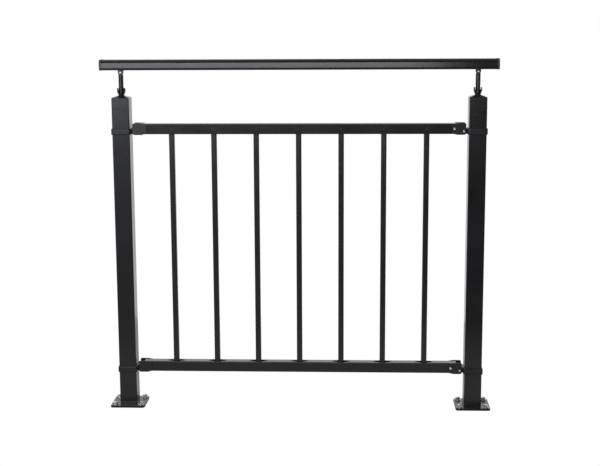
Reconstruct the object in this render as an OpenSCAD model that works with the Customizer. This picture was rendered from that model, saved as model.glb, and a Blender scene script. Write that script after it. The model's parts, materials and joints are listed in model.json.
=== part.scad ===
// Balustrade panel with a raised handrail, for the side of a pool or its steps.
// Two posts stand on bolted base plates. Both rails pivot on the posts, the balusters
// pivot in the rails, and the handrail rides on two stems that can be set in height,
// so the panel follows a slope while its posts and balusters stay upright.
// Millimetres. +X runs along the rail, +Z is up, and the front faces -Y.
// The origin is on the floor, midway between the posts.

/* [Overall] */
// Distance between the post centres
post_pitch = 1010; // [800:5:1500]
// Height of the posts' tubes above the floor
post_top = 898; // [880:1:1100]
// Length of the handrail with its end caps
handrail_len = 1125; // [900:5:1650]
// Height of the handrail's underside above the floor
handrail_z = 981; // [975:1:990]

/* [Posts] */
// Side of the square post
post_w = 50; // [48:1:54]
// Wall of the post
post_wall = 2; // [1.5:0.1:3]
// Corner radius of the post
post_r = 2.5; // [2:0.1:3]
// Side of the base plate
plate_w = 100; // [96:1:120]
// Thickness of the base plate
plate_t = 6; // [5:0.5:8]
// Corner radius of the base plate
plate_r = 9; // [6:0.5:12]
// Distance between the anchor holes, both ways
anchor_pitch = 75; // [72:1:78]
// Diameter of an anchor hole
anchor_d = 9; // [8.5:0.1:10]

/* [Rails] */
// Side of the square rails
rail_w = 30; // [28:1:31]
// Wall of the rails
rail_wall = 1.8; // [1.5:0.1:2]
// Height of the top rail's centreline
top_rail_z = 815; // [700:1:850]
// Height of the bottom rail's centreline
bottom_rail_z = 117; // [110:1:200]
// Side of the square balusters
baluster_w = 16; // [14:0.5:16.5]
// Distance from one baluster to the next
baluster_pitch = 121; // [90:1:125]

/* [Swivel brackets] */
// Distance from the post's inner face to the bracket's pivot
pivot_gap = 12.5; // [12:0.1:14]
// Drop from the rail's centreline to the pivot
pivot_drop = 7; // [5:0.5:7]
// Thickness of the collars round the posts
collar_t = 3; // [2.5:0.5:3.5]
// Height of the collars
collar_h = 18; // [16:1:20]

/* [Handrail] */
// Depth of the handrail, front to back
handrail_w = 50; // [44:1:60]
// Height of the handrail
handrail_h = 30; // [27:1:34]
// Radius of the handrail's upper corners
handrail_top_r = 10.5; // [8:0.5:12]
// Radius of the handrail's lower corners
handrail_low_r = 6.5; // [5:0.5:8]
// Diameter of the stems under the handrail
stem_d = 14; // [12:0.5:14]
// How far the stems can be raised from the height they are drawn at
lift_up = 20; // [0:1:20]
// How far the stems can be lowered from the height they are drawn at
lift_down = 15; // [0:1:15]

/* [Hidden] */
$fn = 64;
BALUSTERS = 7;
LEFT = -1;
RIGHT = 1;

coat = "#26272a";
coat_dark = "#1b1c1e";
steel = "#c9cbce";

fit = 0.1;       // gap round a part that is slipped over another
run = 0.05;      // radial clearance of a turning pin
side_gap = 0.2;  // gap on each side of a rail in its bracket

post_x = post_pitch / 2;
pivot_x = post_x - post_w / 2 - pivot_gap;
inner_w = post_w - 2 * post_wall;

anchor_thread_d = 8;
washer_d = 17;
washer_t = 1.6;
nut_af = 13;
nut_h = 6;
dome_d = 12.2;
dome_h = 2;         // rise of the cap nut's dome over its hexagon

spigot_w = inner_w - 0.4;
spigot_h = 80;
spigot_wall = 2.5;
post_screw_z = 62;

skirt_h = 3.5;      // straight side of the post cap
shoulder_r = 3;     // rounding between the cap's side and its roof
roof_slope = 20;
roof_flat = 9;      // half width of the flat on top of the roof
plug_h = 18;
shoulder_turn = 90 - roof_slope;
shoulder_x = post_w / 2 - shoulder_r + shoulder_r * cos(shoulder_turn);
shoulder_z = shoulder_r * sin(shoulder_turn);
roof_h = shoulder_z + (shoulder_x - roof_flat) * tan(roof_slope);
cap_top = post_top + skirt_h + roof_h;

fork_foot_r = 8.5;
fork_r = 12.3;
fork_flare = 13;    // height over which the fork widens
fork_h = 21.5;
fork_floor = 6;     // solid height under the fork's open front and back
fork_spigot = 10;
fork_mouth_r = stem_d / 2 + 1.4;
fork_mouth_z = 15.5; // height above which the fork's prongs stand clear of the stem
fork_lip = 1.8;     // rounding of the fork's rim
fork_screw_z = cap_top + 12.5;
fork_screw_d = 5;
fork_screw_sink = 1.1; // from the fork's side to the flush head

hinge_d = 6;
saddle_pin_d = 5;
saddle_pin_z = handrail_z - 5.5;
ear_r = 7;
ear_t = 4;
tongue_t = 7;
tongue_r = 6.2;
ear_y = tongue_t / 2 + fit;
stem_shoulder = 8.3;   // from the hinge pin down to the full round of the stem
stem_foot = post_top - 12;

channel_w = 24;     // groove under the handrail that takes the saddles
channel_h = 5;
handrail_wall = 2;
handrail_cap_t = 6;
handrail_cap_lip = 0.4;
saddle_l = 60;
saddle_w = 22;
saddle_t = 3;
saddle_gap = 0.3;
saddle_top = handrail_z + channel_h - saddle_gap;
saddle_screw_x = 21;
saddle_screw_d = 4;
saddle_slip = 4;    // travel of the right saddle along the handrail

bolt_head_d = 7;
bolt_head_h = 1.8;
bolt_play = 0.1;       // end play of a pivot bolt in its bracket
pivot_thread_d = 4;
pivot_thread_l = 12;

collar_r = min(2.5, collar_t - 0.5); // rounding of a collar's outer edges
rail_r = 2.5;
cheek_t = 2;
cheek_rise = 1.2;      // how far the bracket stands above its rail
cheek_corner = 3;
cheek_back_r = [4, 6]; // upper and lower corners towards the post
bracket_floor_t = 1.6;
cheek_gap = rail_w + 2 * side_gap;
bracket_w = cheek_gap + 2 * cheek_t;
bracket_back = 5.7;    // from the pivot towards the post
bracket_body = 24;     // from the pivot to the end of the raised part
bracket_tongue = 34;   // from the pivot to the bracket's far end
bracket_floor_x = 2;   // from the pivot to the near end of the bracket's floor
rail_screw_x = 27;
rail_screw_d = 4;
rail_end_x = pivot_x - 10.5;
lug_r = 7;
lug_w = cheek_gap - 0.8;
lug_web = 14;          // thickness of the web that carries the lug

slot_l = 56;
slot_w = baluster_w + 5.4;
pin_d = 4;
baluster_end = 9;      // from a baluster's pin to its end
baluster_wall = 1.4;
baluster_r = 3;

// ---------- Outlines ----------

// Rectangle with four equal round corners, centred
module rounded_square(w, h, r) {
    square([w, h - 2 * r], center = true);
    square([w - 2 * r, h], center = true);
    for (x = [-1, 1], y = [-1, 1])
        translate([x * (w / 2 - r), y * (h / 2 - r)]) circle(r);
}

// Rectangle from one corner point to the other.
// The radii are those of its lower left, lower right, upper right and upper left corners.
module round_box(x0, y0, x1, y1, radii) {
    corners = [[x0, y0, 1, 1], [x1, y0, -1, 1], [x1, y1, -1, -1], [x0, y1, 1, -1]];
    difference() {
        translate([x0, y0]) square([x1 - x0, y1 - y0]);
        for (i = [0:3]) {
            c = corners[i];
            r = radii[i];
            difference() {
                translate([c[0], c[1]]) square(2 * r, center = true);
                translate([c[0] + c[2] * r, c[1] + c[3] * r]) circle(r);
            }
        }
    }
}

module tube_section(w, h, r, wall) {
    difference() {
        rounded_square(w, h, r);
        rounded_square(w - 2 * wall, h - 2 * wall, max(r - wall, 0.5));
    }
}

// Pointed oval between two equal arcs
module lens(l, w) {
    r = (l * l + w * w) / (4 * w);
    intersection() {
        translate([0, r - w / 2]) circle(r);
        translate([0, w / 2 - r]) circle(r);
    }
}

// ---------- Placing ----------

// Stands a part on one of the posts, with its inner side turned towards the other post
module on_post(side) {
    translate([side * post_x, 0, 0]) mirror([side > 0 ? 1 : 0, 0, 0]) children();
}

// Puts a part at a rail bracket's pivot, with the rail running off towards local +X
module at_pivot(side, rail_z) {
    translate([side * pivot_x, 0, rail_z - pivot_drop])
        mirror([side > 0 ? 1 : 0, 0, 0]) children();
}

// Lays an upright bar along Y, with its top towards the front
module to_front() {
    rotate([90, 0, 0]) children();
}

// The two brackets of a rail are one part turned half round,
// so the heads of their screws are at the front on the right and at the back on the left
module to_heads(side) {
    rotate([side > 0 ? 90 : -90, 0, 0]) children();
}

// ---------- Fasteners ----------

// Disc whose top is a shallow dome
module domed_disc(d, h, crown) {
    ball = (d * d / 4 + crown * crown) / (2 * crown);
    intersection() {
        cylinder(d = d, h = h);
        translate([0, 0, h - ball]) sphere(ball);
    }
}

// Round-headed socket screw, its head's underside at z = 0 and its shank below
module button_screw(head_d, head_h, shank_d, shank_l) {
    difference() {
        domed_disc(head_d, head_h, 0.7 * head_h);
        translate([0, 0, 0.4 * head_h]) cylinder(d = 0.45 * head_d, h = head_h, $fn = 6);
    }
    translate([0, 0, -shank_l]) cylinder(d = shank_d, h = shank_l);
}

// Flush countersunk screw, the top of its head at z = 0
module flush_screw(head_d, head_h, shank_d, shank_l) {
    difference() {
        union() {
            translate([0, 0, -head_h]) cylinder(d1 = shank_d, d2 = head_d, h = head_h);
            translate([0, 0, -shank_l]) cylinder(d = shank_d, h = shank_l);
        }
        translate([0, 0, -0.6 * head_h]) cylinder(d = 0.4 * head_d, h = head_h, $fn = 6);
    }
}

// Hole that a flush screw sits in
module flush_hole(head_d, head_h, shank_d, depth) {
    translate([0, 0, -head_h]) cylinder(d1 = shank_d, d2 = head_d, h = head_h);
    translate([0, 0, -depth]) cylinder(d = shank_d, h = depth + fit);
}

// Hexagon with its upper corners turned off
module hexagon(across, height) {
    corner_d = across / cos(30);
    intersection() {
        cylinder(d = corner_d, h = height, $fn = 6);
        cylinder(d1 = corner_d + 2 * height, d2 = across - 0.4, h = height + 0.4);
    }
}

// Closed nut with a low dome and a blind bore
module cap_nut() {
    difference() {
        union() {
            hexagon(nut_af, nut_h);
            domed_disc(dome_d, nut_h + dome_h, dome_h);
        }
        translate([0, 0, -fit]) cylinder(d = anchor_thread_d - 1.2, h = nut_h + 0.9);
    }
}

// ---------- Posts ----------

module each_anchor() {
    for (x = [-1, 1], y = [-1, 1])
        translate([x * anchor_pitch / 2, y * anchor_pitch / 2, 0]) children();
}

module base_plate(side) {
    bevel = 0.8;
    edge = plate_w / 2;
    section = [
        [-edge, 0], [edge, 0], [edge, plate_t - bevel],
        [edge - bevel, plate_t], [bevel - edge, plate_t], [-edge, plate_t - bevel]
    ];
    color(coat) translate([side * post_x, 0, 0]) difference() {
        union() {
            for (turn = [0, 90])
                rotate([90, 0, turn])
                    linear_extrude(plate_w - 2 * plate_r, center = true) polygon(section);
            for (x = [-1, 1], y = [-1, 1])
                translate([x * (edge - plate_r), y * (edge - plate_r), 0]) {
                    cylinder(r = plate_r, h = plate_t - bevel);
                    translate([0, 0, plate_t - bevel])
                        cylinder(r1 = plate_r, r2 = plate_r - bevel, h = bevel);
                }
        }
        each_anchor() translate([0, 0, -1]) cylinder(d = anchor_d, h = plate_t + 2);
    }
}

module post_spigot(side) {
    color(coat_dark) translate([side * post_x, 0, plate_t]) difference() {
        linear_extrude(spigot_h) tube_section(spigot_w, spigot_w, 1.5, spigot_wall);
        translate([0, 0, post_screw_z - plate_t])
            to_front() cylinder(d = 5 + fit, h = post_w);
    }
}

module anchor_washers(side) {
    color(steel) translate([side * post_x, 0, plate_t]) each_anchor() difference() {
        cylinder(d = washer_d, h = washer_t);
        translate([0, 0, -1]) cylinder(d = anchor_thread_d + 0.4, h = washer_t + 2);
    }
}

module anchor_nuts(side) {
    color(steel) translate([side * post_x, 0, plate_t + washer_t]) each_anchor()
        rotate(15) cap_nut();
}

module post(side) {
    color(coat) on_post(side) difference() {
        translate([0, 0, plate_t]) linear_extrude(post_top - plate_t)
            tube_section(post_w, post_w, post_r, post_wall);
        translate([0, -post_w / 2, post_screw_z]) to_front()
            flush_hole(9, 1.9, 5 + fit, 5);
        for (rail_z = [bottom_rail_z, top_rail_z])
            translate([-post_w / 2 - 1, 0, rail_z - pivot_drop]) rotate([0, 90, 0])
                cylinder(d = rail_screw_d + fit, h = post_wall + 2);
    }
}

module post_screw(side) {
    color(coat_dark) translate([side * post_x, -post_w / 2, post_screw_z])
        to_front() flush_screw(9 - fit, 1.9 - fit / 2, 5, 9);
}

// Half of the roof's outline, from its eave up over the rounded shoulder to the flat
function roof_side() = concat(
    [for (t = [0:shoulder_turn / 4:shoulder_turn + 1])
        [post_w / 2 - shoulder_r + shoulder_r * cos(t), shoulder_r * sin(t)]],
    [[roof_flat, roof_h]]
);

module roof_ridge() {
    right = roof_side();
    left = [for (i = [len(right) - 1:-1:0]) [-right[i][0], right[i][1]]];
    rotate([90, 0, 0]) linear_extrude(post_w + 2, center = true)
        polygon(concat(right, left));
}

module post_cap(side) {
    color(coat) translate([side * post_x, 0, post_top]) difference() {
        union() {
            translate([0, 0, -plug_h]) linear_extrude(plug_h)
                rounded_square(inner_w - 0.4, inner_w - 0.4, 1.5);
            linear_extrude(skirt_h) rounded_square(post_w, post_w, post_r);
            translate([0, 0, skirt_h]) intersection() {
                roof_ridge();
                rotate(90) roof_ridge();
                linear_extrude(roof_h + 1) rounded_square(post_w, post_w, post_r);
            }
        }
        translate([0, 0, -plug_h - 1])
            cylinder(r = stem_d / 2 + 0.3, h = plug_h + skirt_h + roof_h + 2);
        translate([0, 0, skirt_h + roof_h - fork_spigot - 0.2])
            cylinder(r = fork_foot_r, h = fork_spigot + 2);
    }
}

// ---------- Handrail supports ----------

// Clamp socket that swells from its foot and ends in two prongs above its screw
module stem_fork(side) {
    bore = stem_d / 2 + fit;
    outline = concat(
        [[bore, -fork_spigot], [fork_foot_r - run, -fork_spigot], [fork_foot_r - run, 0]],
        [for (z = [0.01:fork_flare / 8:fork_flare + 0.1])
            [fork_foot_r + (fork_r - fork_foot_r) * (1 - cos(180 * z / fork_flare)) / 2, z]],
        [for (t = [0:22.5:90])
            [fork_r + fork_lip * (cos(t) - 1), fork_h + fork_lip * (sin(t) - 1)]],
        [[bore, fork_h]]
    );
    color(coat) translate([side * post_x, 0, cap_top]) difference() {
        rotate_extrude() polygon(outline);
        translate([-(stem_d - 1) / 2, -fork_r - 1, fork_floor])
            cube([stem_d - 1, 2 * fork_r + 2, fork_h]);
        translate([-fork_mouth_r, -fork_r - 1, fork_mouth_z])
            cube([2 * fork_mouth_r, 2 * fork_r + 2, fork_h]);
        translate([fork_screw_sink - fork_r, 0, fork_screw_z - cap_top]) rotate([0, -90, 0]) {
            flush_hole(8, 2.2, fork_screw_d + 0.04, 2 * fork_r);
            cylinder(d = 8, h = 2);
        }
    }
}

module fork_screw(side) {
    color(coat_dark) translate([side * post_x - fork_r + fork_screw_sink, 0, fork_screw_z])
        rotate([0, -90, 0]) flush_screw(8 - fit, 2.2 - fit / 2, fork_screw_d, 2 * fork_r - 2);
}

module stem(side) {
    slot_half = fork_screw_d / 2 + 0.3;
    shoulder_top = saddle_pin_z - stem_shoulder;
    color(coat) translate([side * post_x, 0, 0]) difference() {
        union() {
            translate([0, 0, stem_foot]) cylinder(d = stem_d, h = shoulder_top - stem_foot);
            intersection() {
                translate([0, 0, shoulder_top - 1]) cylinder(d = stem_d, h = 40);
                translate([-stem_d, -tongue_t / 2, 0]) cube([2 * stem_d, tongue_t, 2000]);
                translate([0, stem_d, saddle_pin_z]) to_front() union() {
                    cylinder(r = tongue_r, h = 2 * stem_d);
                    translate([-tongue_r, -20, 0]) cube([2 * tongue_r, 20, 2 * stem_d]);
                }
            }
        }
        translate([0, stem_d, saddle_pin_z]) to_front()
            cylinder(d = saddle_pin_d + 2 * run, h = 2 * stem_d);
        translate([-stem_d, 0, fork_screw_z]) rotate([0, 90, 0]) {
            translate([lift_up, 0, 0]) cylinder(r = slot_half, h = 2 * stem_d);
            translate([-lift_down, 0, 0]) cylinder(r = slot_half, h = 2 * stem_d);
            translate([-lift_down, -slot_half, 0])
                cube([lift_up + lift_down, 2 * slot_half, 2 * stem_d]);
        }
    }
}

module saddle(side) {
    color(coat) translate([side * post_x, 0, 0]) difference() {
        union() {
            translate([0, 0, saddle_top - saddle_t]) linear_extrude(saddle_t)
                rounded_square(saddle_l, saddle_w, 3);
            for (y = [-ear_y - ear_t, ear_y])
                translate([0, y + ear_t, saddle_pin_z]) to_front() {
                    cylinder(r = ear_r, h = ear_t);
                    translate([-ear_r, 0, 0])
                        cube([2 * ear_r, saddle_top - 1 - saddle_pin_z, ear_t]);
                }
        }
        translate([0, saddle_w, saddle_pin_z]) to_front()
            cylinder(d = saddle_pin_d + 0.04, h = 2 * saddle_w);
        for (x = [-1, 1])
            translate([x * saddle_screw_x, 0, saddle_top - saddle_t - 1])
                cylinder(d = saddle_screw_d + fit, h = saddle_t + 2);
    }
}

// Bolt through the ears of the saddle, with a nut at the back
module saddle_pin(side) {
    grip = 2 * (ear_y + ear_t);
    nut_t = 4;
    color(steel) translate([side * post_x, -grip / 2, saddle_pin_z]) to_front() {
        button_screw(6.5, 1.8, saddle_pin_d, grip + nut_t - 0.5);
        translate([0, 0, -grip]) mirror([0, 0, 1]) difference() {
            hexagon(8, nut_t);
            translate([0, 0, -fit]) cylinder(d = saddle_pin_d, h = nut_t + 2 * fit);
        }
    }
}

module saddle_screws(side) {
    color(steel) for (x = [-1, 1])
        translate([side * post_x + x * saddle_screw_x, 0, saddle_top - saddle_t])
            mirror([0, 0, 1]) button_screw(7.5, 1.6, saddle_screw_d, 10);
}

// ---------- Collars and swivel brackets ----------

// Section of a collar's band: flat against the post, with its outer edges rounded
module band_section() {
    intersection() {
        rounded_square(2 * collar_t, collar_h, collar_r);
        translate([0, -collar_h / 2]) square([collar_t, collar_h]);
    }
}

module band() {
    straight = post_w / 2 - post_r;
    for (turn = [0:90:270])
        rotate(turn) {
            translate([post_w / 2 + fit, 0, 0]) rotate([90, 0, 0])
                linear_extrude(2 * straight, center = true) band_section();
            translate([straight, straight, 0]) rotate_extrude(angle = 90)
                translate([post_r + fit, 0]) band_section();
        }
}

// Outline of the web between a collar's band and its lug, tangent to the lug's barrel
module web_outline() {
    reach = pivot_gap - fit;
    root_half = collar_h / 2;
    turn = 180 - atan2(root_half, reach) - acos(lug_r / norm([reach, root_half]));
    touch = lug_r * [cos(turn), sin(turn)];
    circle(lug_r);
    polygon([[-reach, -root_half], [touch[0], -touch[1]], touch, [-reach, root_half]]);
}

module collar(side, rail_z) {
    back = post_w / 2 + fit + collar_t;
    color(coat) on_post(side) translate([0, 0, rail_z - pivot_drop]) difference() {
        union() {
            band();
            translate([post_w / 2 + pivot_gap, lug_w / 2, 0]) to_front() {
                cylinder(r = lug_r, h = lug_w);
                translate([0, 0, (lug_w - lug_web) / 2]) linear_extrude(lug_web) web_outline();
            }
        }
        translate([post_w / 2 + pivot_gap, lug_w, 0]) to_front()
            cylinder(d = hinge_d + 0.04, h = 2 * lug_w);
        translate([-back, 0, 0]) rotate([0, -90, 0])
            flush_hole(8, 2.2, rail_screw_d + fit, 2 * collar_t);
    }
}

module collar_screws(side) {
    color(coat_dark) on_post(side) for (rail_z = [bottom_rail_z, top_rail_z])
        translate([-post_w / 2 - fit - collar_t, 0, rail_z - pivot_drop])
            rotate([0, -90, 0]) flush_screw(8 - fit, 2.2 - fit / 2, rail_screw_d, 11);
}

// Barrel nuts that the brackets turn on
module pivot_sleeves(side) {
    reach = bracket_w / 2 + bolt_play;
    flange_t = 1.2;
    color(coat_dark) for (rail_z = [bottom_rail_z, top_rail_z])
        at_pivot(side, rail_z) to_heads(side) difference() {
            union() {
                translate([0, 0, -reach]) cylinder(d = hinge_d, h = 2 * reach - bolt_play);
                translate([0, 0, -reach - flange_t]) cylinder(d = 8.5, h = flange_t);
            }
            translate([0, 0, reach - pivot_thread_l - 1])
                cylinder(d = pivot_thread_d, h = pivot_thread_l + 2);
        }
}

module pivot_bolts(side) {
    color(steel) for (rail_z = [bottom_rail_z, top_rail_z])
        at_pivot(side, rail_z) to_heads(side) translate([0, 0, bracket_w / 2 + bolt_play])
            button_screw(bolt_head_d, bolt_head_h, pivot_thread_d, pivot_thread_l);
}

module bracket(side, rail_z) {
    rail_bottom = pivot_drop - rail_w / 2;
    rail_top = pivot_drop + rail_w / 2;
    body_bottom = rail_bottom - side_gap - bracket_floor_t;
    color(coat) at_pivot(side, rail_z) difference() {
        union() {
            for (y = [-1, 1])
                translate([0, y * (cheek_gap + cheek_t) / 2, 0]) rotate([90, 0, 0])
                    linear_extrude(cheek_t, center = true) {
                        round_box(-bracket_back, body_bottom, bracket_body,
                            rail_top + cheek_rise,
                            [cheek_back_r[1], cheek_corner, 1.5, cheek_back_r[0]]);
                        round_box(0, rail_bottom, bracket_tongue, rail_top, [1, 7, 7, 1]);
                    }
            translate([bracket_floor_x, -bracket_w / 2, body_bottom])
                cube([bracket_body - cheek_corner - bracket_floor_x, bracket_w, bracket_floor_t]);
        }
        translate([0, bracket_w, 0]) to_front()
            cylinder(d = hinge_d + 2 * run, h = 2 * bracket_w);
        translate([rail_screw_x, 0, pivot_drop]) to_heads(side)
            cylinder(d = rail_screw_d + fit, h = bracket_w);
    }
}

module rail_screws(rail_z) {
    color(steel) for (side = [LEFT, RIGHT])
        at_pivot(side, rail_z) translate([rail_screw_x, 0, pivot_drop])
            to_heads(side) translate([0, 0, bracket_w / 2])
                button_screw(bolt_head_d, bolt_head_h, rail_screw_d, 11);
}

// ---------- Rails and balusters ----------

function baluster_x(i) = (i - (BALUSTERS + 1) / 2) * baluster_pitch;

// A rail lies along X. Its slots open down on the top rail and up on the bottom rail.
module rail(rail_z, slots_up) {
    wall_z = slots_up ? rail_w / 2 : -rail_w / 2;
    color(coat) translate([0, 0, rail_z]) difference() {
        rotate([90, 0, 90]) linear_extrude(2 * rail_end_x, center = true)
            tube_section(rail_w, rail_w, rail_r, rail_wall);
        for (i = [1:BALUSTERS]) translate([baluster_x(i), 0, 0]) {
            translate([0, 0, wall_z - rail_wall - 1]) linear_extrude(2 * rail_wall + 2)
                lens(slot_l, slot_w);
            translate([0, rail_w, 0]) to_front() cylinder(d = pin_d + 0.04, h = 2 * rail_w);
        }
        for (side = [LEFT, RIGHT])
            translate([side * (pivot_x - rail_screw_x), 0, 0]) to_heads(side)
                cylinder(d = rail_screw_d + 0.04, h = rail_w);
    }
}

module baluster_pins(rail_z) {
    pin_l = rail_w - 0.6;
    color(coat_dark) for (i = [1:BALUSTERS])
        translate([baluster_x(i), pin_l / 2, rail_z]) to_front()
            cylinder(d = pin_d, h = pin_l);
}

module baluster(i) {
    foot = bottom_rail_z - baluster_end;
    tip = top_rail_z + baluster_end;
    color(coat) translate([baluster_x(i), 0, 0]) difference() {
        translate([0, 0, foot]) linear_extrude(tip - foot)
            tube_section(baluster_w, baluster_w, baluster_r, baluster_wall);
        for (z = [bottom_rail_z, top_rail_z])
            translate([0, baluster_w, z]) to_front()
                cylinder(d = pin_d + 2 * run, h = 2 * baluster_w);
    }
}

// ---------- Handrail ----------

// Outline of the handrail, made smaller by inset all round
module handrail_outline(inset) {
    w = handrail_w / 2 - inset;
    h = handrail_h / 2 - inset;
    low_r = handrail_low_r - inset;
    top_r = handrail_top_r - inset;
    round_box(-w, -h, w, h, [low_r, low_r, top_r, top_r]);
}

// Closed box section with a groove along its underside
module handrail_section() {
    groove_top = channel_h - handrail_h / 2;
    groove_outer = channel_w + 2 * handrail_wall;
    difference() {
        handrail_outline(0);
        difference() {
            handrail_outline(handrail_wall);
            translate([-groove_outer / 2, -handrail_h])
                square([groove_outer, handrail_h + groove_top + handrail_wall]);
        }
        translate([-channel_w / 2, -handrail_h])
            square([channel_w, handrail_h + groove_top]);
    }
}

module handrail() {
    half = handrail_len / 2 - handrail_cap_t;
    hole_z = channel_h - handrail_h / 2 - 1;
    hole_d = saddle_screw_d + fit;
    color(coat) translate([0, 0, handrail_z + handrail_h / 2]) difference() {
        rotate([90, 0, 90]) linear_extrude(2 * half, center = true) handrail_section();
        for (x = [-1, 1]) {
            translate([x * saddle_screw_x - post_x, 0, hole_z])
                cylinder(d = hole_d, h = handrail_wall + 2);
            translate([x * saddle_screw_x + post_x, 0, hole_z])
                linear_extrude(handrail_wall + 2)
                    rounded_square(hole_d + 2 * saddle_slip + 1, hole_d + 1, hole_d / 2);
        }
    }
}

// Closes an end of the handrail: a lid that stands a little proud, and a plug inside
module handrail_cap(side) {
    bevel = 1;
    plug_bottom = channel_h + handrail_wall + 0.4 - handrail_h / 2;
    color(coat_dark) translate([side * handrail_len / 2, 0, handrail_z + handrail_h / 2])
        mirror([side > 0 ? 1 : 0, 0, 0]) rotate([90, 0, 90]) {
            hull() {
                translate([0, 0, bevel]) linear_extrude(handrail_cap_t - bevel)
                    handrail_outline(-handrail_cap_lip, $fn = 32);
                linear_extrude(bevel) handrail_outline(bevel - handrail_cap_lip, $fn = 32);
            }
            translate([0, 0, handrail_cap_t]) linear_extrude(12) intersection() {
                handrail_outline(handrail_wall + 0.3);
                translate([-handrail_w, plug_bottom]) square([2 * handrail_w, handrail_h]);
            }
        }
}

// ---------- Nodes ----------

base_plate(LEFT);  // left_base_plate
post_spigot(LEFT);  // left_post_spigot
anchor_washers(LEFT);  // left_anchor_washers
anchor_nuts(LEFT);  // left_anchor_nuts
post(LEFT);  // left_post
post_screw(LEFT);  // left_post_screw
post_cap(LEFT);  // left_post_cap
stem_fork(LEFT);  // left_stem_fork
fork_screw(LEFT);  // left_fork_screw
stem(LEFT);  // left_stem
saddle(LEFT);  // left_saddle
saddle_pin(LEFT);  // left_saddle_pin
saddle_screws(LEFT);  // left_saddle_screws
collar(LEFT, top_rail_z);  // left_upper_collar
collar(LEFT, bottom_rail_z);  // left_lower_collar
collar_screws(LEFT);  // left_collar_screws
pivot_sleeves(LEFT);  // left_pivot_sleeves
pivot_bolts(LEFT);  // left_pivot_bolts
bracket(LEFT, top_rail_z);  // left_upper_bracket
bracket(LEFT, bottom_rail_z);  // left_lower_bracket

base_plate(RIGHT);  // right_base_plate
post_spigot(RIGHT);  // right_post_spigot
anchor_washers(RIGHT);  // right_anchor_washers
anchor_nuts(RIGHT);  // right_anchor_nuts
post(RIGHT);  // right_post
post_screw(RIGHT);  // right_post_screw
post_cap(RIGHT);  // right_post_cap
stem_fork(RIGHT);  // right_stem_fork
fork_screw(RIGHT);  // right_fork_screw
stem(RIGHT);  // right_stem
saddle(RIGHT);  // right_saddle
saddle_pin(RIGHT);  // right_saddle_pin
saddle_screws(RIGHT);  // right_saddle_screws
collar(RIGHT, top_rail_z);  // right_upper_collar
collar(RIGHT, bottom_rail_z);  // right_lower_collar
collar_screws(RIGHT);  // right_collar_screws
pivot_sleeves(RIGHT);  // right_pivot_sleeves
pivot_bolts(RIGHT);  // right_pivot_bolts
bracket(RIGHT, top_rail_z);  // right_upper_bracket
bracket(RIGHT, bottom_rail_z);  // right_lower_bracket

rail(top_rail_z, false);  // top_rail
rail_screws(top_rail_z);  // top_rail_screws
baluster_pins(top_rail_z);  // top_baluster_pins
rail(bottom_rail_z, true);  // bottom_rail
rail_screws(bottom_rail_z);  // bottom_rail_screws
baluster_pins(bottom_rail_z);  // bottom_baluster_pins
baluster(1);  // baluster_1
baluster(2);  // baluster_2
baluster(3);  // baluster_3
baluster(4);  // baluster_4
baluster(5);  // baluster_5
baluster(6);  // baluster_6
baluster(7);  // baluster_7
handrail();
handrail_cap(LEFT);  // handrail_left_cap
handrail_cap(RIGHT);  // handrail_right_cap
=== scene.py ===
"""Looks of the balustrade panel: its finishes, the studio round it and the camera."""

import json
from math import pi, radians

import bpy
from mathutils import Matrix, Vector

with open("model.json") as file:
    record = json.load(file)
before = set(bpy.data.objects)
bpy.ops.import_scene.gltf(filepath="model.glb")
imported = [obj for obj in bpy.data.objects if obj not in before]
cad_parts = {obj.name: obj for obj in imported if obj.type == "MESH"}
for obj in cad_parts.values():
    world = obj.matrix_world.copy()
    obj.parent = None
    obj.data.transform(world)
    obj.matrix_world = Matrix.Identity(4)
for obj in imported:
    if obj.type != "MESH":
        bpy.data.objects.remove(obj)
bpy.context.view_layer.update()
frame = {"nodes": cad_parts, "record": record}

MM = 0.001
WHITE = (1, 1, 1, 1)


# ---------- Node wiring ----------

class Wiring:
    """A node tree and short calls that add nodes to it."""

    def __init__(self, tree):
        self.tree = tree
        tree.nodes.clear()

    def add(self, kind, inputs=None, **settings):
        """Adds a node. An input is a value or another node's output socket."""
        node = self.tree.nodes.new(kind)
        for name, value in settings.items():
            setattr(node, name, value)
        for name, value in (inputs or {}).items():
            if isinstance(value, bpy.types.NodeSocket):
                self.tree.links.new(value, node.inputs[name])
            else:
                node.inputs[name].default_value = value
        return node

    def math(self, operation, a, b=0.0):
        return self.add("ShaderNodeMath", {0: a, 1: b}, operation=operation).outputs[0]

    def times(self, a, b):
        return self.math("MULTIPLY", a, b)

    def plus(self, a, b):
        return self.math("ADD", a, b)

    def minus(self, a, b):
        return self.math("SUBTRACT", a, b)

    def spread(self, value, low, high, to_low, to_high, smooth=False):
        """Maps value from one range to another, held at both ends."""
        ends = {"From Min": low, "From Max": high, "To Min": to_low, "To Max": to_high}
        kind = "SMOOTHSTEP" if smooth else "LINEAR"
        node = self.add("ShaderNodeMapRange", {"Value": value, **ends}, interpolation_type=kind)
        return node.outputs["Result"]

    def noise(self, where, size, detail=2.0, roughness=0.5):
        """Noise whose features are about that size, in metres."""
        inputs = {"Vector": where, "Scale": 1 / size, "Detail": detail, "Roughness": roughness}
        return self.add("ShaderNodeTexNoise", inputs).outputs["Fac"]

    def mix(self, factor, a, b):
        """Blends two colours, from a at 0 to b at 1."""
        return self.add("ShaderNodeMix", {0: factor, 6: a, 7: b}, data_type="RGBA").outputs[2]

    def bump(self, height, depth, normal):
        """Relief of a height from 0 to 1 times the depth, in metres."""
        inputs = {"Height": height, "Distance": depth, "Strength": 1.0, "Normal": normal}
        return self.add("ShaderNodeBump", inputs).outputs["Normal"]

    def place(self):
        """Where the shaded point is in its own object, in metres."""
        return self.add("ShaderNodeTexCoord").outputs["Object"]

    def xyz(self, vector):
        node = self.add("ShaderNodeSeparateXYZ", {0: vector})
        return [node.outputs[axis] for axis in "XYZ"]


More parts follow.
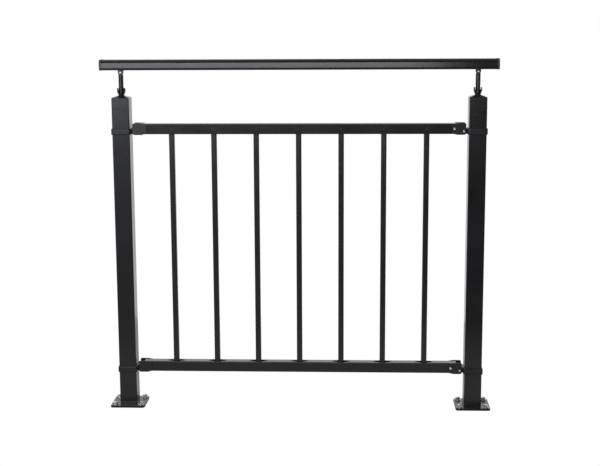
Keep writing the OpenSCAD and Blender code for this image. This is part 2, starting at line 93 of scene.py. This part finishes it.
def surface(name, **constant):
    """A new material with a Principled shader. constant holds the sockets that don't vary."""
    material = bpy.data.materials.new(name)
    material.use_nodes = True
    wiring = Wiring(material.node_tree)
    shader = wiring.add("ShaderNodeBsdfPrincipled")
    for socket, value in constant.items():
        shader.inputs[socket.replace("_", " ")].default_value = value
    wiring.add("ShaderNodeOutputMaterial", {"Surface": shader.outputs["BSDF"]})
    return material, wiring, shader


def connect(wiring, shader, **sockets):
    for socket, value in sockets.items():
        wiring.tree.links.new(value, shader.inputs[socket.replace("_", " ")])


# ---------- Finishes ----------

# The cosine between the softened and the true normal, on a flat face and on an edge.
FLAT_COSINE, EDGE_COSINE = 0.985, 0.80

# Powder coat. The patches and the rubbed edges are its own shade times a gain.
DARK_PATCH, LIGHT_PATCH = 0.82, 1.25
RUBBED_GAIN, RUBBED_LIFT = 3.0, 0.004
DUST = (0.30, 0.29, 0.28, 1)
DUST_COVER, DUST_ROUGHNESS = 0.03, 0.05
GLOSS_VARIATION, EDGE_POLISH = 0.025, 0.04
PEEL_DEPTH, GRAIN_DEPTH = 0.012 * MM, 0.0015 * MM

# Bright steel.
CLEAN_STEEL, DULL_STEEL = (0.76, 0.76, 0.77, 1), (0.62, 0.62, 0.63, 1)
STEEL_EDGE = (0.86, 0.86, 0.87, 1)
SCRATCH_DEPTH = 0.008 * MM

# Nylon.
NYLON_DARK, NYLON_LIGHT = (0.015, 0.015, 0.016, 1), (0.021, 0.021, 0.022, 1)
NYLON_EDGE = (0.05, 0.05, 0.052, 1)
MOULD_DEPTH = 0.02 * MM


def edge_mask(wiring, radius):
    """1 along sharp edges and 0 on flat faces, with the softened normal that goes with it."""
    rounded = wiring.add("ShaderNodeBevel", {"Radius": radius}, samples=6).outputs["Normal"]
    flat = wiring.add("ShaderNodeNewGeometry").outputs["True Normal"]
    cosine = wiring.add("ShaderNodeVectorMath", {0: rounded, 1: flat}, operation="DOT_PRODUCT")
    return wiring.spread(cosine.outputs["Value"], FLAT_COSINE, EDGE_COSINE, 0.0, 1.0), rounded


def shaded(colour, gain, lift=0.0):
    return [part * gain + lift for part in colour] + [1]


def powder_coat(name, shade, roughness, peel=1.0, edge=0.7 * MM):
    """Satin black powder coat: orange peel, a fine grain, thin paint on the edges and some dust."""
    material, wiring, shader = surface(name, IOR=1.42)
    where = wiring.place()
    worn, rounded = edge_mask(wiring, edge)

    mottle = wiring.noise(where, 90 * MM, detail=4, roughness=0.6)
    cloud = wiring.noise(where, 9 * MM, detail=3)
    peel_height = wiring.noise(where, 2.2 * MM, detail=2)
    grain_height = wiring.noise(where, 0.5 * MM, detail=1)

    up = wiring.xyz(wiring.add("ShaderNodeNewGeometry").outputs["Normal"])[2]
    facing_up = wiring.spread(up, 0.5, 0.95, 0.0, 1.0, smooth=True)
    specks = wiring.noise(where, 3 * MM, detail=5, roughness=0.7)
    dust = wiring.times(facing_up, wiring.spread(specks, 0.42, 0.72, 0.15, 1.0))

    patches = wiring.spread(mottle, 0.3, 0.7, 0.0, 1.0)
    coat = wiring.mix(patches, shaded(shade, DARK_PATCH), shaded(shade, LIGHT_PATCH))
    rubbed = wiring.times(worn, wiring.spread(cloud, 0.35, 0.65, 0.15, 0.7))
    coat = wiring.mix(rubbed, coat, shaded(shade, RUBBED_GAIN, RUBBED_LIFT))
    coat = wiring.mix(wiring.times(dust, DUST_COVER), coat, DUST)

    gloss_noise = wiring.plus(mottle, wiring.times(cloud, 0.5))
    glossy, dull = roughness - GLOSS_VARIATION, roughness + GLOSS_VARIATION
    rough = wiring.spread(gloss_noise, 0.45, 1.05, glossy, dull)
    rough = wiring.plus(rough, wiring.times(dust, DUST_ROUGHNESS))
    rough = wiring.minus(rough, wiring.times(worn, EDGE_POLISH))

    normal = wiring.bump(peel_height, PEEL_DEPTH * peel, rounded)
    normal = wiring.bump(grain_height, GRAIN_DEPTH * peel, normal)
    connect(wiring, shader, Base_Color=coat, Roughness=rough, Normal=normal)
    return material


def bright_steel(name):
    """Plain bright fastener steel with fine turning marks and a few dull patches."""
    material, wiring, shader = surface(name, Metallic=1.0)
    where = wiring.place()
    worn, rounded = edge_mask(wiring, 0.4 * MM)

    patches = wiring.noise(where, 4 * MM, detail=4, roughness=0.6)
    steel = wiring.mix(wiring.spread(patches, 0.35, 0.7, 0.0, 1.0), CLEAN_STEEL, DULL_STEEL)
    steel = wiring.mix(wiring.times(worn, 0.5), steel, STEEL_EDGE)
    rough = wiring.spread(patches, 0.3, 0.7, 0.18, 0.30)

    squeezed = wiring.add("ShaderNodeMapping", {"Vector": where, "Scale": (1.0, 1.0, 9.0)})
    scratches = wiring.noise(squeezed.outputs["Vector"], 1.2 * MM, detail=3, roughness=0.7)
    normal = wiring.bump(scratches, SCRATCH_DEPTH, rounded)
    connect(wiring, shader, Base_Color=steel, Roughness=rough, Normal=normal)
    return material


def moulded_plastic(name):
    """Black nylon with the fine spark-eroded texture of a moulding tool."""
    material, wiring, shader = surface(name, IOR=1.5)
    where = wiring.place()
    worn, rounded = edge_mask(wiring, 0.6 * MM)

    cloud = wiring.noise(where, 12 * MM, detail=3)
    nylon = wiring.mix(wiring.spread(cloud, 0.35, 0.65, 0.0, 1.0), NYLON_DARK, NYLON_LIGHT)
    nylon = wiring.mix(wiring.times(worn, 0.4), nylon, NYLON_EDGE)
    rough = wiring.spread(cloud, 0.3, 0.7, 0.40, 0.48)

    texture = wiring.noise(where, 0.7 * MM, detail=3, roughness=0.65)
    normal = wiring.bump(texture, MOULD_DEPTH, rounded)
    connect(wiring, shader, Base_Color=nylon, Roughness=rough, Normal=normal)
    return material


BLACK = (0.0048, 0.0049, 0.0053)
# Painted light: the balusters get the same black coat made about half again lighter, so that they
# read brighter.
BALUSTER_BLACK_WITH_PAINTED_LIGHT = (0.0074, 0.0076, 0.0082)
FITTING_BLACK = (0.0043, 0.0044, 0.0048)
STEEL_BLACK = (0.0040, 0.0040, 0.0042)

FINISHES = {
    "post_coat": powder_coat("Post powder coat", BLACK, 0.19),
    "rail_coat": powder_coat("Rail powder coat", BLACK, 0.145),
    # The balusters take the lightened black, which is painted light.
    "baluster_coat": powder_coat("Baluster powder coat lightened as painted light", BALUSTER_BLACK_WITH_PAINTED_LIGHT, 0.19),
    "fitting_coat": powder_coat("Cast fitting powder coat", FITTING_BLACK, 0.23, peel=1.1),
    "end_cap": moulded_plastic("Moulded nylon"),
    "black_steel": powder_coat("Blackened steel", STEEL_BLACK, 0.30, edge=0.3 * MM),
    "stainless": bright_steel("Bright steel"),
}


def dress():
    """Gives each CAD node the finish that the record names for it."""
    for part in frame["record"]["subparts"]:
        node = frame["nodes"][part["node"]]
        node.data.materials.clear()
        node.data.materials.append(FINISHES[part["material_slot"]])


# ---------- Studio ----------

FLOOR_RADIUS = 1.1
FLOOR_PALE, FLOOR_PALER = (0.91, 0.91, 0.91, 1), (0.93, 0.93, 0.93, 1)

# Levels are brightnesses with white as 1. The backdrop's is in reflections, and the fill's
# is what the walls give as soft light.
BACKDROP_LEVEL = 1.05
FILL_LEVEL = 1.25
FRONT_TINT = (0.93, 0.96, 1.05, 1)

KEY_LEVEL = 6.8
KEY_TINT = (0.95, 0.97, 1.03)
KEY_SIZE = (3.75, 1.24)
KEY_PLACE = (-1.125, -5.0, 1.38)
KEY_TARGET = (-1.125, 0, 1.38)


def floor():
    """A pale floor for the bounced light and for reflections. The camera doesn't see it.

    In reflections it is a dim glow, painted light, dimmest far in front and in a painted shadow
    beside the plates.
    """
    bpy.ops.mesh.primitive_circle_add(vertices=96, radius=FLOOR_RADIUS, fill_type="NGON")
    ground = bpy.context.object
    ground.name = "studio_floor"
    material, wiring, shader = surface("Pale floor", IOR=1.3)
    where = wiring.place()
    tone = wiring.spread(wiring.noise(where, 0.4, detail=3), 0.3, 0.7, 0.0, 1.0)
    rough = wiring.spread(tone, 0.0, 1.0, 0.70, 0.76)
    connect(wiring, shader, Base_Color=wiring.mix(tone, FLOOR_PALE, FLOOR_PALER), Roughness=rough)

    # Painted light: reflections see an emission, not the lit floor. It has a painted shadow beside
    # the plates and painted shade far in front.
    depth = wiring.xyz(where)[1]
    painted_shadow_beside_plates = wiring.spread(wiring.math("ABSOLUTE", depth), 0.06, 0.12, 0.30, 1.0)
    painted_shade_in_front = wiring.spread(depth, -FLOOR_RADIUS, -0.3, 0.30, 0.60)
    level = wiring.times(painted_shadow_beside_plates, painted_shade_in_front)
    painted_glow = wiring.add("ShaderNodeEmission", {"Strength": level})
    glossy = wiring.add("ShaderNodeLightPath").outputs["Is Glossy Ray"]
    branches = {0: glossy, 1: shader.outputs["BSDF"], 2: painted_glow.outputs[0]}
    shown = wiring.add("ShaderNodeMixShader", branches)
    output = wiring.tree.nodes["Material Output"]
    wiring.tree.links.new(shown.outputs[0], output.inputs["Surface"])
    ground.data.materials.append(material)
    ground.visible_camera = False


def studio_walls():
    """White for the lens and the soft light. Reflections see a white backdrop and a dim front."""
    world = bpy.data.worlds.new("Studio")
    bpy.context.scene.world = world
    world.use_nodes = True
    wiring = Wiring(world.node_tree)
    x, y, z = wiring.xyz(wiring.add("ShaderNodeTexCoord").outputs["Generated"])

    # The front is brighter on the left, and fades towards the floor and above the lens.
    front = wiring.spread(x, -0.24, 0.04, 0.60, 0.05, smooth=True)
    front = wiring.times(front, wiring.spread(z, -0.20, -0.07, 0.55, 1.0, smooth=True))
    front = wiring.times(front, wiring.spread(z, 0.05, 0.25, 1.0, 0.45, smooth=True))
    # It is lifted a little at the floor and more overhead.
    front = wiring.plus(front, wiring.spread(z, -0.35, -0.18, 0.12, 0.0))
    front = wiring.plus(front, wiring.spread(z, 0.55, 0.85, 0.0, 0.5, smooth=True))

    # The backdrop reaches nearly overhead, and its upper right is shaded.
    behind = wiring.spread(y, -0.25, 0.15, 0.0, 1.0, smooth=True)
    backdrop = wiring.times(behind, wiring.spread(z, 0.90, 1.0, 1.0, 0.0, smooth=True))
    on_the_right = wiring.spread(x, -0.15, 0.05, 0.0, 0.75, smooth=True)
    shade = wiring.times(on_the_right, wiring.spread(z, 0.45, 0.60, 0.0, 1.0, smooth=True))
    lift = wiring.minus(wiring.minus(BACKDROP_LEVEL, shade), front)
    reflected = wiring.plus(front, wiring.times(backdrop, lift))

    def background(colour, level):
        inputs = {"Color": colour, "Strength": level}
        return wiring.add("ShaderNodeBackground", inputs).outputs[0]

    def choose(factor, otherwise, chosen):
        branches = {0: factor, 1: otherwise, 2: chosen}
        return wiring.add("ShaderNodeMixShader", branches).outputs[0]

    rays = wiring.add("ShaderNodeLightPath").outputs
    mirror = background(wiring.mix(backdrop, FRONT_TINT, WHITE), reflected)
    unseen = choose(rays["Is Glossy Ray"], background(WHITE, FILL_LEVEL), mirror)
    walls = choose(rays["Is Camera Ray"], unseen, background(WHITE, 1.0))
    wiring.add("ShaderNodeOutputWorld", {"Surface": walls})


def softbox():
    """A rectangular softbox far in front, to the left of the lens and above the handrail."""
    width, height = KEY_SIZE
    light = bpy.data.lights.new("key_softbox", "AREA")
    light.shape = "RECTANGLE"
    light.color = KEY_TINT
    light.size, light.size_y = width, height
    light.energy = KEY_LEVEL * pi * width * height
    holder = bpy.data.objects.new("key_softbox", light)
    bpy.context.scene.collection.objects.link(holder)
    holder.location = KEY_PLACE
    aim = Vector(KEY_TARGET) - Vector(KEY_PLACE)
    holder.rotation_euler = aim.to_track_quat("-Z", "Y").to_euler()
    holder.visible_camera = False


def camera():
    """Stands a little right of the middle and above the handrail, and looks slightly down."""
    at = Vector((0.151, -3.438, 1.105))
    turn_left, look_down, roll = radians(2.473), radians(9.755), radians(-0.265)
    lens = bpy.data.cameras.new("camera")
    lens.sensor_width = 36.0
    lens.lens = 72.57
    lens.clip_end = 100
    holder = bpy.data.objects.new("camera", lens)
    bpy.context.scene.collection.objects.link(holder)
    holder.matrix_world = (
        Matrix.Translation(at) @ Matrix.Rotation(turn_left, 4, "Z")
        @ Matrix.Rotation(pi / 2 - look_down, 4, "X") @ Matrix.Rotation(roll, 4, "Z")
    )
    bpy.context.scene.camera = holder


camera()
dress()
floor()
studio_walls()
softbox()
bpy.context.scene.view_settings.view_transform = "Standard"
